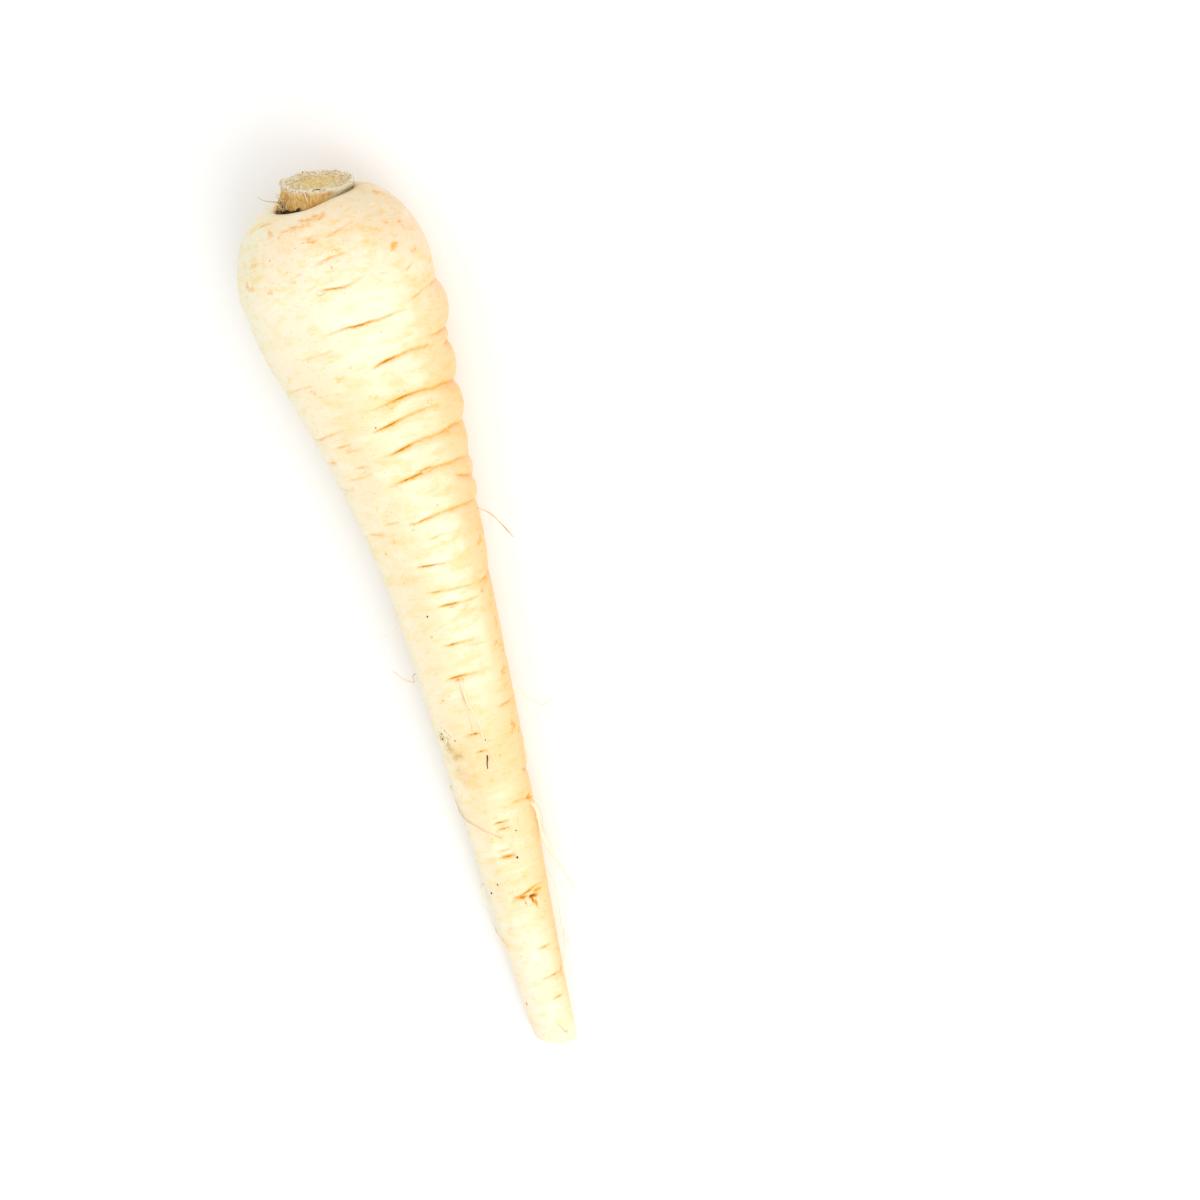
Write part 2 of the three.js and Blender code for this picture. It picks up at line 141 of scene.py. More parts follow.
# Pits, most of them torn ones in the scars: distance, angle, half length, half width, depth, darkness.
PITS = [
    (185.5, 34, 0.6, 1.5, 0.6, 0.8), (186.5, 30, 0.9, 0.4, 0.5, 0.75), (185.5, 29, 0.5, 0.8, 0.5, 0.9),
    (187.5, 35, 1.3, 0.4, 0.4, 0.6), (184.5, 46, 0.5, 1.6, 0.4, 0.6), (185, 10, 0.5, 1.5, 0.4, 0.65),
    (186.5, 13, 0.8, 0.3, 0.3, 0.5), (184.5, -4, 0.5, 1.4, 0.3, 0.4), (173, -2, 0.5, 2.3, 0.3, 0.4),
    (124.5, -4, 0.5, 1.6, 0.4, 0.4), (160.5, 71, 0.7, 0.8, 0.3, 0.5), (214, -60, 0.7, 0.5, 0.3, 0.5),
    (112, -22, 0.4, 0.4, 0.1, 0.5), (129, -32, 0.4, 0.4, 0.1, 0.5),
]

# Rust stains on the skin: distance, angle, half length, half width, strength.
STAINS = [
    # under the rim of the crown
    (1.5, -55, 0.5, 2.5, 0.8), (3.5, -40, 0.7, 0.9, 0.7), (3.5, -22, 0.7, 3.5, 0.6), (2, -2, 0.9, 3, 0.85),
    (3.5, -8, 0.5, 2, 0.5), (7, -6, 0.5, 2, 0.9), (2, 70, 0.5, 2, 0.8),
    # on the shoulder
    (15, -60, 0.9, 1, 0.9), (16, -55, 0.7, 1.8, 0.6), (16.5, -38, 0.9, 1.2, 0.7), (13, -25, 0.4, 1, 0.8),
    (14, -17, 0.4, 1, 0.6), (12.5, -2, 0.5, 1.8, 0.5), (19.5, -5, 0.5, 1.6, 0.8), (14, 45, 0.7, 2, 1),
    (8, 50, 1, 1.2, 0.5), (10, 62, 1.2, 1.2, 0.5), (17, 60, 0.8, 1.8, 0.6), (20, 50, 0.5, 1.6, 0.9),
    # between the creases
    (40, 50, 0.5, 0.6, 1), (54, 43, 0.9, 1.4, 0.7), (56, 47, 0.6, 0.9, 0.6), (63, 57, 0.9, 1.2, 0.6),
    (63.5, -57, 0.4, 1, 0.8), (71, -7, 0.5, 0.5, 1), (82, -4, 0.7, 0.9, 1),
    # on the right flank
    (92, 70, 1.6, 0.8, 0.8), (99, 70, 1.2, 0.8, 0.8), (114, 69, 1.2, 0.8, 1.6), (119, 58, 0.6, 1, 1.4),
    (127, 65, 1.2, 1.4, 1.6), (141, 60, 1.4, 1.2, 1.6), (161, 74, 1, 1, 1.6), (207.5, 65, 1.5, 0.5, 0.9),
]

# Smaller stains follow a seeded rule. Each set: how many, then the ranges of distance, angle, half length,
# half width and strength.
SMALL_STAINS = [
    (9, (3, 22), (-65, 80), (0.4, 0.7), (0.5, 1.4), (0.4, 0.7)),
    (17, (34, 110), (-60, 25), (0.4, 0.8), (0.5, 1.6), (0.3, 0.6)),
    (7, (90, 150), (52, 74), (0.5, 1.1), (0.5, 1), (0.8, 1.5)),
    (4, (168, 216), (-50, 60), (0.5, 1.3), (0.6, 1.1), (0.4, 0.6)),
]
SMALL_STAIN_SEED = 3

# A grey bruise on the left, as overlapping soft patches: distance, angle, half length, half width, strength.
BRUISE = [
    (139, -54, 1.2, 1.2, 0.8), (142, -46, 1.7, 1.8, 0.95), (144, -37, 1.5, 1.7, 0.9),
    (136.5, -48, 1.4, 2.2, 0.3), (145, -52, 2.4, 2, 0.35), (148, -40, 2.6, 2.3, 0.5),
    (151, -37, 2.4, 2, 0.4),
]

# Black specks of soil: distance, angle, size. And fine black hairs on the bruise, and one dark sliver.
SOIL = [
    (55.5, -4, 0.25), (63, 8, 0.25), (106.5, -20, 0.4), (138, -52, 0.35), (139.5, -54, 0.45),
    (140, -32, 0.3), (141.5, 10, 0.3), (167, 24, 0.35), (174, 16, 0.6), (180, -32, 0.4), (182.5, -55, 0.5),
]
SPECK_REACH, SPECK_HEIGHTS = 0.35, (0, 0.1, 0)
SLIVER = [(145.5, 8, 0), (146.5, 7, 0.05), (147.5, 5, 0.05), (149, 4, 0)]
SLIVER_THICK = 0.42
HAIRS, HAIR_PLACE, HAIR_LENGTH, HAIR_THICK = 7, ((135.5, 141), (-58, -40)), (1.0, 3.0), (0.05, 0.08)
HAIR_TURN, HAIR_CURL, HAIR_HEIGHT, HAIR_SEED = (-0.9, 0.9), (-0.3, 0.3), 0.02, 5

# ---------- side roots ----------
# Each: thickness at the skin and at the end, how brown, then the distance, angle and height of its bends.
SIDE_ROOTS = [
    (0.42, 0.28, 0.55, (84, 79, -1.5), (86, 86, 0.6), (88, 90, 2.4), (91.5, 92, 4.6), (95.5, 92, 7)),
    (0.3, 0.16, 0.1, (106.5, -52, -0.6), (108.5, -65, 0.4), (111, -86, 1), (112, -92, 5.6)),
    (0.34, 0.2, 0.45, (122, -82, -1), (123.5, -90, 1.2), (125, -92, 1.5), (124, -92, 3.5), (121, -92, 5.6)),
    (0.26, 0.14, 0.4, (124.5, -92, 2.5), (125.5, -90, 1.5), (126, -86, 0.7)),
    (0.46, 0.26, 0.15, (131.5, 80, -1.5), (134.5, 90, 1.6), (137.5, 92, 4), (140.5, 92, 7.8)),
    (0.32, 0.14, 0.15, (139.5, 92, 6), (139, 92, 8), (138, 92, 10)),
    (0.44, 0.18, 0, (124, -2, -0.8), (125, -2, 0.4), (129.5, -1, 0.5), (136, 7, 0.4), (141, 8, 0.4),
        (146, 15, 0.3), (151, 22, 0.3)),
    (0.3, 0.14, 0.4, (125, -7, -0.5), (127, -5, 0.2), (133, -3, 0.2), (142, -4, 0.05)),
    (0.36, 0.18, 0.45, (152.5, -76, -0.8), (154, -84, 0.5), (158, -83, 0.4), (161, -67, 0.4),
        (162.5, -48, 0.3), (165, -25, 0.3), (167, -8, 0.2), (168, 0, 0.05)),
    (0.8, 0.36, 0.05, (161, 72, -1), (164, 75, 0.5), (169, 77, 0.6), (175, 90, 1), (182, 92, 4),
        (190, 92, 7)),
    (0.34, 0.18, 0.2, (161.5, 80, -0.8), (163, 87, 0.5), (168, 92, 1.4), (172.5, 82, 0.4)),
    (0.3, 0.16, 0.3, (166.5, 74, 0.3), (171, 90, 1.3), (175, 92, 2.4), (178, 92, 1.6)),
    (0.38, 0.2, 0.4, (180, -76, -0.8), (181, -84, 0.8), (184, -88, 1.2), (193, -84, 0.7), (198.5, -60, 0.3)),
    (0.24, 0.14, 0.3, (193, -86, 0.8), (195, -90, 1), (198.5, -90, 0.9)),
    (0.28, 0.16, 0.35, (193.5, 84, -0.6), (195.5, 90, 0.8), (199, 92, 2), (202.5, 92, 2.5)),
    (0.24, 0.14, 0.25, (199, 92, 1.7), (203, 92, 1.4), (206.5, 90, 0.3)),
    (0.26, 0.14, 0.55, (-1, -90, -3.2), (-2, -90, -0.6), (-3, -90, 0.8), (-3.7, -90, 1.4)),
    (0.24, 0.12, 0.3, (143.5, 74, -0.4), (146, 84, 0.3), (151, 88, 0.4), (154, 84, 0.2)),
    (0.22, 0.12, 0.2, (180.5, 84, -0.4), (182, 90, 0.6), (188, 92, 1.7), (197, 92, 1.4)),
]
SIDE_ROOT_SIDES, SIDE_ROOT_STEP = 8, 0.5
THREAD_SEED, SEED_STEP = 50, 7
WAVES, KNOTS, BROWNER = (0.14, 4), (0.18, 1.3), (0.25, 2.5)  # how strong, and the size of their lumps
FIBRE_SIDES, FIBRE_STEP, FIBRE_TAPER = 5, 0.2, 0.5

# ---------- the leaf stump ----------
STUMP_BASE, STUMP_TOP = 9.4, 8.8
STUMP_HEIGHT, STUMP_SINK, STUMP_LIP = 3.62, 0.3, 0.2
STUMP_FOOT_SHIFT, STUMP_TOP_SHIFT = 0.25, 2.2  # sideways from the middle of the hollow
STUMP_SLANT_UP, STUMP_SLANT_SIDE = 7.3, 10.5
STUMP_DISH, CUT_SHARE = 0.45, 0.975
STUMP_COLUMNS, SIDE_ROWS, CUT_ROWS = 240, 44, 60
RIBS, RIB_DEPTH = 9, 0.14
CRUST_TOPS, CRUST_EDGE, CRUST_HEIGHT, CRUMBS_SHARE = (-2.0, 0.2), 1.1, 0.15, 0.7
LUMP_HEIGHT, LUMP_START, CURL_LIFT = 0.5, 1.4, 0.5
CUT_RING_WIDTH, CUT_RING_HEIGHT, INNER_RAGGED = 1.9, 0.1, 0.22
SLIT_SIDE, SLIT_UP, SLIT_WIDTH, SLIT_HEIGHT, SLIT_DEPTH = 0.1, 5.9, 1.3, 1.05, 0.5
# Layers of noise: height, size of the lumps, seed.
GRAIN, RIB_BENDS, CUT_RING_BENDS = [(0.06, 1.1, 31)], [(25, 5, 32)], [(5, 4, 33)]
RAGGED, CUT_WAVES = [(0.3, 0.9, 34), (0.2, 0.4, 35)], [(0.22, 1.6, 36)]
CRUMBS, CRUST_BENDS = [(0.5, 1.1, 37), (0.35, 0.5, 38)], [(0.6, 1.4, 39)]
# The first of these bends the edge of the painted shade at the stump's foot.
GAP_SHADE_BENDS, SLIT_BENDS = [(0.4, 0.8, 40)], [(0.4, 0.8, 41)]

# Loose fibres: at the cut's ragged rim, in the crust at the foot, and at the curled lump.
# Each set: how many, angles, distances, lengths, how brown. One strand runs over the front.
FIBRE_SETS = [
    (46, (20, 250), (-3.5, -3.1), (0.3, 0.65), (0.0, 0.6)),
    (40, (-108, -20), (-1.2, 0.4), (0.8, 2.0), (0.0, 0.5)),
    (10, (-100, -60), (-3.8, -3.2), (0.4, 1.0), (0.2, 0.7)),
]
STRAND = [(-3.9, -24, 0.1), (-3.2, -21, 0.35), (-2.2, -17, 0.4), (-1.2, -12, 0.3), (-0.4, -9, 0.0)]
STRAND_THICK, STRAND_BROWN = 0.22, 0.05
FIBRE_LEAN, FIBRE_TURN, FIBRE_CURL, FIBRE_THICK = (-0.2, 1.0), (-1, 1), (-0.4, 0.4), (0.13, 0.22)
FIBRE_SINK, LEAN_SHORTENS, FIBRE_SEED = 0.2, 0.6, 8

# ---------- the picture ----------
PIXELS = 1200
PIXEL_SIZE = 0.25  # of the surface, in the middle of the picture
CAMERA_DISTANCE = 1150
CAMERA_TILT = 9.5  # degrees from straight above, towards the crown
CAMERA_CLIP = 10
PICTURE_TURN = 15.15  # degrees between the root and the picture's upright
PICTURE_MIDDLE = (116.3, 39.5, 15)  # along, sideways and up from the middle of the crown rim
SENSOR = 36
# Square lamps: place to the right, up the picture and above what the camera aims at, and width, in metres,
# then power and colour.
LAMPS = {
    "key": (0.55, -0.75, 1.35, 1.2, 10),
    "top": (-0.1, 0.3, 1.6, 1.8, 8),
    "warm": (0.5, -0.1, 0.2, 0.3, 0.5, (255, 176, 96)),
}
WORLD_STRENGTH = 0.78
FLOOR_HALF, FLOOR_DROP = 3000, 0.02


# ---------- numbers ----------
def lerp(low, high, share):
    return low + (high - low) * share


def ease(low, high, value):
    share = np.clip((value - low) / (high - low), 0, 1)
    return share * share * (3 - 2 * share)


def between(value, rise, fall):
    """1 in a stretch of values that sets in over the range "rise" and ends over the range "fall"."""
    return ease(*rise, value) * ease(*fall, value)


def hill(value, width):
    return np.exp(-((value / width) ** 2))


def smooth_at(rows, where, column):
    """A smooth curve through rows, read at places along it in one column."""
    places, values = rows[:, 0], rows[:, column]
    last = len(rows) - 1
    ahead = np.minimum(np.arange(last + 1) + 1, last)
    behind = np.maximum(np.arange(last + 1) - 1, 0)
    slope = (values[ahead] - values[behind]) / (places[ahead] - places[behind])
    inside = np.clip(where, places[0], places[-1])
    row = np.clip(np.searchsorted(places, inside, side="right") - 1, 0, last - 1)
    span = places[row + 1] - places[row]
    share = (inside - places[row]) / span
    rise = values[row + 1] - values[row]
    leaves, arrives = slope[row] * span - rise, rise - slope[row + 1] * span
    return values[row] + share * rise + share * (1 - share) * ((1 - share) * leaves + share * arrives)


def turn(start, end):
    """The angle from start to end in degrees, the short way round."""
    return (end - start + 180) % 360 - 180


def window(middle, reach, angle):
    """1 round the middle of a stretch of angles, falling smoothly to 0 at its two ends."""
    return ease(1, FULL_SHARE, np.abs(turn(middle, angle)) / reach)


def random_from(seed):
    """The same numbers from 0 to 1 on every run, and the same as the solid's."""
    state = seed
    word = 0xFFFFFFFF
    while True:
        state = (state + 0x6D2B79F5) & word
        mixed = ((state ^ (state >> 15)) * (1 | state)) & word
        mixed ^= (mixed + ((mixed ^ (mixed >> 7)) * (61 | mixed) & word)) & word
        yield ((mixed ^ (mixed >> 14)) & word) / (word + 1)


def noise(points, size, seed):
    """Smooth noise from -1 to 1, with lumps of the given size, from a hash of each cell's corners."""
    scaled = points / size
    cell = np.floor(scaled).astype(np.int64)
    part = scaled - cell
    fade = part * part * (3 - 2 * part)
    total = np.zeros(cell.shape[:-1])
    for corner in np.ndindex(2, 2, 2):
        key = (cell + corner) @ np.array((73856093, 19349663, 83492791)) + seed * 40503
        key = (key ^ (key >> 13)) * 1274126177 & 0xFFFFFFFF
        key = (key ^ (key >> 16)) * 2246822519 & 0xFFFFFFFF
        weight = np.prod(np.where(corner, fade, 1 - fade), axis=-1)
        total += weight * ((key ^ (key >> 15)) / 2147483648 - 1)
    return total


def noises(points, layers):
    return sum(height * noise(points, size, seed) for height, size, seed in layers)


def around(angle, radius):
    """How far sideways and up points are."""
    return radius * np.sin(np.radians(angle)), radius * np.cos(np.radians(angle))


def radius_at(along):
    left = np.clip(1 - along / SHOULDER_LENGTH, 0, 1)
    bulge = (1 - left**SHOULDER_ROUNDNESS) ** (1 / SHOULDER_ROUNDNESS)
    return np.where(left > 0, lerp(RIM_RADIUS, SHOULDER_RADIUS, bulge), smooth_at(BODY, along, 1))


# ---------- how the root lies ----------
TILT = math.atan2(radius_at(REST_SHOULDER) - radius_at(REST_TIP), REST_TIP - REST_SHOULDER)
LIFT = REST_SHOULDER * math.sin(TILT) + radius_at(REST_SHOULDER) * math.cos(TILT) - REST_SINK


def place(along, angle, radius):
    """Points at distances, angles and radii about the root's middle line, in millimetres from the crown."""
    side, up = around(angle, radius)
    run = along + TIP_SLANT * side * ease(ROOT_LENGTH - TIP_SLANT_START, ROOT_LENGTH, along)
    ahead = run * math.cos(TILT) + up * math.sin(TILT)
    above = LIFT - run * math.sin(TILT) + up * math.cos(TILT)
    return np.stack([ahead, smooth_at(BODY, along, 2) + side, above], axis=-1)


# ---------- wrinkles ----------
def far_wrinkles():
    draw = random_from(SEED)
    extra = np.random.default_rng(SEED)
    found = []
    for row in FAR_ROWS:
        along = lerp(*FAR_START, next(draw))
        while along < REST_TIP:
            size = lerp(SMALLEST, 1, float(radius_at(along) / radius_at(REST_SHOULDER)))
            angle = row + lerp(*FAR_SCATTER, next(draw))
            drift = lerp(*FAR_DRIFT, next(draw))
            reach = lerp(*FAR_REACH, next(draw))
            depth = size * lerp(*FAR_DEPTH, next(draw))
            core = angle + extra.uniform(*FAR_CORE) * reach
            dark = extra.uniform(*FAR_DARK) * min(1, depth / FAR_DARK_DEPTH)
            core_reach = extra.uniform(*FAR_CORE_REACH)
            found.append(Wrinkle(along, angle, reach, depth, core, core_reach, dark, drift))
            along += size * lerp(*FAR_GAP, next(draw))
    return found


def wrinkle_place(wrinkle, angle):
    """The distances at which a wrinkle crosses angles."""
    away = np.radians(turn(wrinkle.middle, angle))
    return wrinkle.along + wrinkle.drift * away + wrinkle.bow * away**2


def wrinkle_relief(along, angle):
    """How deep wrinkles press the skin in, and masks for their colour."""
    fold, best = np.zeros_like(along), np.full_like(along, LEAST_CLAIM)
    masks = {name: np.zeros_like(along) for name in ("gap", "line", "dark", "thick")}
    masks["gap"] += FAR_OFF
    for wrinkle in UPPER_WRINKLES + far_wrinkles():
        gap = along - wrinkle_place(wrinkle, angle)
        near = (np.abs(gap) < WRINKLE_END) & (np.abs(turn(wrinkle.middle, angle)) < wrinkle.reach)
        gap = gap[near]
        across = window(wrinkle.middle, wrinkle.reach, angle[near])
        off_core = np.abs(turn(wrinkle.core, angle[near])) / (CORE_SPREAD * wrinkle.core_reach)
        centre = np.maximum(0, 1 - off_core)
        groove = (1 - PILLOW_SHARE) * hill(gap, GROOVE_WIDTH)
        pillow = PILLOW_SHARE * np.exp(-np.abs(gap) / PILLOW_WIDTH)
        pinch = CORE_DEPTH * wrinkle.dark * centre * hill(gap, CORE_WIDTH)
        fold[near] += WRINKLE_STRENGTH * wrinkle.depth * across * (groove + pillow) + pinch
        close = ease(*LINE_END, np.abs(gap))
        line = close * across * min(1, LINE_STRENGTH + LINE_GAIN * wrinkle.depth)
        dark = close * centre * wrinkle.dark
        thick = (CORE_THICK + CORE_THICK_GAIN * wrinkle.dark) * centre**CORE_TAPER
        claim = np.maximum(LINE_CLAIM * line, dark) * hill(gap, CLAIM_WIDTH)
        wins = claim > best[near]
        best[near] = np.maximum(best[near], claim)
        values = {"gap": np.clip(gap, -FAR_OFF, FAR_OFF), "line": line, "dark": dark, "thick": thick}
        for name, value in values.items():
            masks[name][near] = np.where(wins, value, masks[name][near])
    return fold, masks


def flank_pillows(along, angle):
    """Rounded bulges between the wrinkles that cross the right flank."""
    creases = sorted(wrinkle for wrinkle in UPPER_WRINKLES if wrinkle.along in FLANK_PILLOWS)
    height = np.zeros_like(along)
    for above, below in zip(creases, creases[1:]):
        start, end = wrinkle_place(above, angle), wrinkle_place(below, angle)
        share = np.clip((along - start) / (end - start), 0, 1)
        inside = (share > 0) & (share < 1)
        height += FLANK_PILLOWS[above.along] * inside * (4 * share * (1 - share) - FLANK_SINK)
    return height * window(FLANK, FLANK_REACH, angle)


# ---------- the skin ----------
def patch(along, angle, radius, spot):
    """How close points are to a spot: 1 in its middle and 0.37 at its half length and half width."""
    middle, middle_angle, half_length, half_width = spot
    across = np.radians(turn(middle_angle, angle)) * radius
    return np.exp(-(((along - middle) / half_length) ** 2) - (across / half_width) ** 2)


def strongest(along, angle, radius, rows):
    """The strongest of several soft patches at each point."""
    found = np.zeros_like(along)
    for *spot, strength in rows:
        found = np.maximum(found, strength * patch(along, angle, radius, spot))
    return found


def small_stains():
    """Draws the smaller stains, set after set."""
    draw = np.random.default_rng(SMALL_STAIN_SEED)
    stains = []
    for count, *ranges in SMALL_STAINS:
        stains += [[draw.uniform(*limits) for limits in ranges] for _ in range(count)]
    return stains


def colour_zones(along, angle):
    """Masks of zones of other colours, three of them painted light: a painted warm bounce light and shade on
    the right flank, a painted shade on the left flank and a painted highlight along the top. The ranges are
    distances and angles where a zone starts and ends.
    """
    # Painted warm bounce light and shade on the right flank, fullest towards its edge and farther from the
    # crown.
    flank = between(along, (0, 40), (228, 205)) * between(angle, (5, 80), (150, 110))
    flank_full = ease(85, 110, along) * ease(50, 80, angle)
    return {
        "crown": ease(30, 12, along),
        "flank": flank * lerp(0.85, 1, flank_full),
        "cream": np.maximum(between(along, (26, 48), (200, 186)), 0.3 * ease(15, 4, along)),
        "dull": hill(along - 148, 11) * window(10, 75, angle),
        # Painted shade on the left flank.
        "shade": ease(215, 190, along) * window(-90, 74, angle),
        "grey": 0.85 * ease(26, 6, along) * between(angle, (-15, 55), (160, 120)),
        # Painted highlight along the top, a little towards the +Y side.
        "bright": between(along, (14, 26), (140, 110)) * window(24, 30, angle),
    }


def skin_relief(along, angle):
    """The height of the skin off the smooth outline, and masks for its colour, at points of the root."""
    radius = radius_at(along)
    size = radius / radius_at(REST_SHOULDER)
    spots = np.stack([along, *around(angle, radius)], axis=-1)
    shifted = along + noises(spots, WANDER)
    fold, masks = wrinkle_relief(shifted, angle)
    pits = np.zeros_like(along)
    for *spot, depth, dark in PITS:
        close = patch(along, angle, radius, spot)
        fold += depth * close
        pits = np.maximum(pits, dark * close)
    swells = sum(high * np.sin(np.radians(bulges * angle) + along / twist) for high, bulges, twist in SWELLS)
    height = SWELL_BASE + size * swells - fold + size * noises(spots, LUMPS) + flank_pillows(shifted, angle)
    fade = ease(*RELIEF_START, along)
    height *= fade
    height += ease(*BANDS_START, along) * noises(spots * BANDS_STRETCH, BANDS) - INSET
    # Stains have uneven edges: their places are shifted by noise.
    stain_along = along + noises(spots, STAIN_SHIFT)
    stain_angle = angle + np.degrees(noises(spots, STAIN_TURN) / radius)
    masks["stain"] = strongest(stain_along, stain_angle, radius, STAINS + small_stains())
    masks["bruise"] = strongest(stain_along, stain_angle, radius, BRUISE)
    masks.update(pit=pits, fold=fold * fade, **colour_zones(along, angle))
    # The painted highlight fades out where the folds are deep.
    masks["bright"] *= ease(1, 0.5, fold)
    return height, masks


# ---------- meshes ----------
def add_object(name, data):
    added = bpy.data.objects.new(name, data)
    bpy.context.collection.objects.link(added)
    return added


def mesh_object(name, vertices, faces, masks):
    """A piece from vertices in millimetres from the crown, with one number per vertex for each mask."""
    mesh = bpy.data.meshes.new(name)
    mesh.from_pydata((vertices * MM + CROWN).tolist(), [], faces)
    for mask, values in masks.items():
        mesh.attributes.new(mask, "FLOAT", "POINT").data.foreach_set("value", np.asarray(values, np.float32))
    mesh.polygons.foreach_set("use_smooth", [True] * len(mesh.polygons))
    mesh.update()
    return add_object(name, mesh)


def capped(rings, first_point, last_point):
    """Vertices and faces of a closed body: rings of points, and a point that closes each end."""
    rows, columns = rings.shape[:2]
    vertices = np.concatenate([rings.reshape(-1, 3), [first_point, last_point]])
    first, last, end = rows * columns, rows * columns + 1, (rows - 1) * columns
    nexts = [(column, (column + 1) % columns) for column in range(columns)]
    faces = []
    for here in range(0, end, columns):
        there = here + columns
        faces += [(here + column, here + beside, there + beside, there + column) for column, beside in nexts]
    for column, beside in nexts:
        faces += [(first, beside, column), (last, end + column, end + beside)]
    return vertices, faces


def closed(rings, masks):
    """The same for rings with masks, where the middle of each end closes the body."""
    middle = rings.mean(axis=1)
    masks = {name: np.append(mask.ravel(), (mask[0, 0], mask[-1, 0])) for name, mask in masks.items()}
    return *capped(rings, middle[0], middle[-1]), masks


def ring_grid(profile, angles):
    """Radius, angle, distance and kind at each point of rings."""
    radius, angle = np.meshgrid(profile[:, 0], angles, indexing="ij")
    along, kind = (np.repeat(column[:, None], len(angles), axis=1) for column in profile.T[1:])
    return radius, angle, along, kind


# ---------- the root ----------
RING_STEP = 0.41
FINE_TURN, COARSE_TURN = 1.76, 3.0  # degrees between points on the upper side, and below
FINE_SIDE = 95  # the upper side reaches so far down


def root_angles():
    upper = np.arange(-FINE_SIDE, FINE_SIDE, FINE_TURN)
    steps = round((360 - 2 * FINE_SIDE) / COARSE_TURN)
    return np.concatenate([upper, np.linspace(upper[-1] + FINE_TURN, 360 - FINE_SIDE, steps + 1)[:-1]])


def root_profile():
    """Radius, distance and kind of every ring: 0 in the hollow, 1 on the skin, 2 on the cut tip."""
    rows = [(radius, SOCKET_DEPTH, 0) for radius in (2, 5, 8, 9.7)]
    rows += [(SOCKET_RADIUS, depth, 0) for depth in (4.5, 3.9, 3.2, 2.6, 2.1, 1.7)]
    rim = ((0.06, 1.3, 0), (0.2, 0.8, 0.5), (0.45, 0.4, 1), (0.8, 0.12, 1), (1.2, 0.02, 1))
    rows += [(SOCKET_RADIUS + wider, depth, kind) for wider, depth, kind in rim]
    end = ROOT_LENGTH - TIP_EDGE
    for along in (0, 0.12, 0.3, 0.55, 0.85, *np.linspace(1.2, end, round(end / RING_STEP))):
        rows.append((float(radius_at(along)), along, 1))
    for corner in np.radians((15, 30, 45, 60, 75, 90)):
        edge = float(radius_at(end)) - TIP_EDGE * (1 - math.cos(corner))
        rows.append((edge, end + TIP_EDGE * math.sin(corner), 2))
    inner = rows[-1][0]
    rows += [(inner * share, ROOT_LENGTH, 2) for share in (0.85, 0.7, 0.55, 0.4, 0.25, 0.1)]
    return np.array(rows)


def build_root():
    profile = root_profile()
    radius, angle, along, kind = ring_grid(profile, root_angles())
    height, masks = skin_relief(along, angle)
    dip = window(*CROWN_DIP, angle) * CROWN_DIP_DEPTH
    near_rim = ease(0, SOCKET_DEPTH, SOCKET_DEPTH - along)
    tip_share = np.where(kind == 2, radius / profile[profile[:, 2] == 1][-1, 0], 1)
    outward = np.where(kind >= 1, height * tip_share, 0)
    rings = place(along + dip * near_rim, angle, radius + outward)
    rings[..., 2] = np.maximum(rings[..., 2], 0)
    masks["hollow"] = np.where(kind < 1, 1 - kind, 0)
    masks["edge"] = np.where(along < SOCKET_DEPTH, ease(1.3, 0.7, radius - SOCKET_RADIUS), 0)
    masks["cut"] = np.where(kind == 2, ease(0.7, 0.1, ROOT_LENGTH - along), 0)
    return closed(rings, masks)


def find_crown(vertices):
    """Where the middle of the crown rim stands in the part: the middle of the root's box is the solid's."""
    solid_middle = np.mean(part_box("taproot"), axis=0)
    skin_middle = (vertices.min(axis=0) + vertices.max(axis=0)) / 2 * MM
    return np.array((*(solid_middle - skin_middle)[:2], 0))


root_vertices, root_faces, root_masks = build_root()
CROWN = find_crown(root_vertices)
root = mesh_object("root_skin", root_vertices, root_faces, root_masks)
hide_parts("taproot")
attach(root, "root")


# ---------- side roots ----------
def smooth_path(points, step):
    """Points every step along a smooth curve through the given ones."""
    lengths = np.linalg.norm(np.diff(points, axis=0), axis=1)
    at = np.concatenate([[0], np.cumsum(lengths)])
    rows = np.column_stack([at, points])
    where = np.linspace(0, at[-1], max(4, round(at[-1] / step)))
    return np.column_stack([smooth_at(rows, where, column) for column in (1, 2, 3)])


def tube(path, thickness, sides):
    """Rings round a path, with a thickness at each of its points."""
    ahead = np.gradient(path, axis=0)
    ahead /= np.linalg.norm(ahead, axis=1)[:, None]
    side = np.cross(ahead, (0, 0, 1.0))
    side /= np.maximum(np.linalg.norm(side, axis=1), 1e-6)[:, None]
    up = np.cross(side, ahead)
    turns = np.linspace(0, 2 * math.pi, sides, endpoint=False)
    circle = np.cos(turns)[None, :, None] * side[:, None] + np.sin(turns)[None, :, None] * up[:, None]
    return path[:, None] + 0.5 * thickness[:, None, None] * circle


def join(bodies):
    """One list of vertices, faces and masks from several closed bodies."""
    vertices, faces, masks, start = [], [], {}, 0
    for body_vertices, body_faces, body_masks in bodies:
        vertices.append(body_vertices)
        faces += [tuple(start + corner for corner in face) for face in body_faces]
        for name, value in body_masks.items():
            masks.setdefault(name, []).append(np.broadcast_to(value, len(body_vertices)))
        start += len(body_vertices)
    return np.concatenate(vertices), faces, {name: np.concatenate(values) for name, values in masks.items()}


def on_skin(along, angle, height):
    relief, _ = skin_relief(along, angle)
    return place(along, angle, radius_at(along) + relief + height)


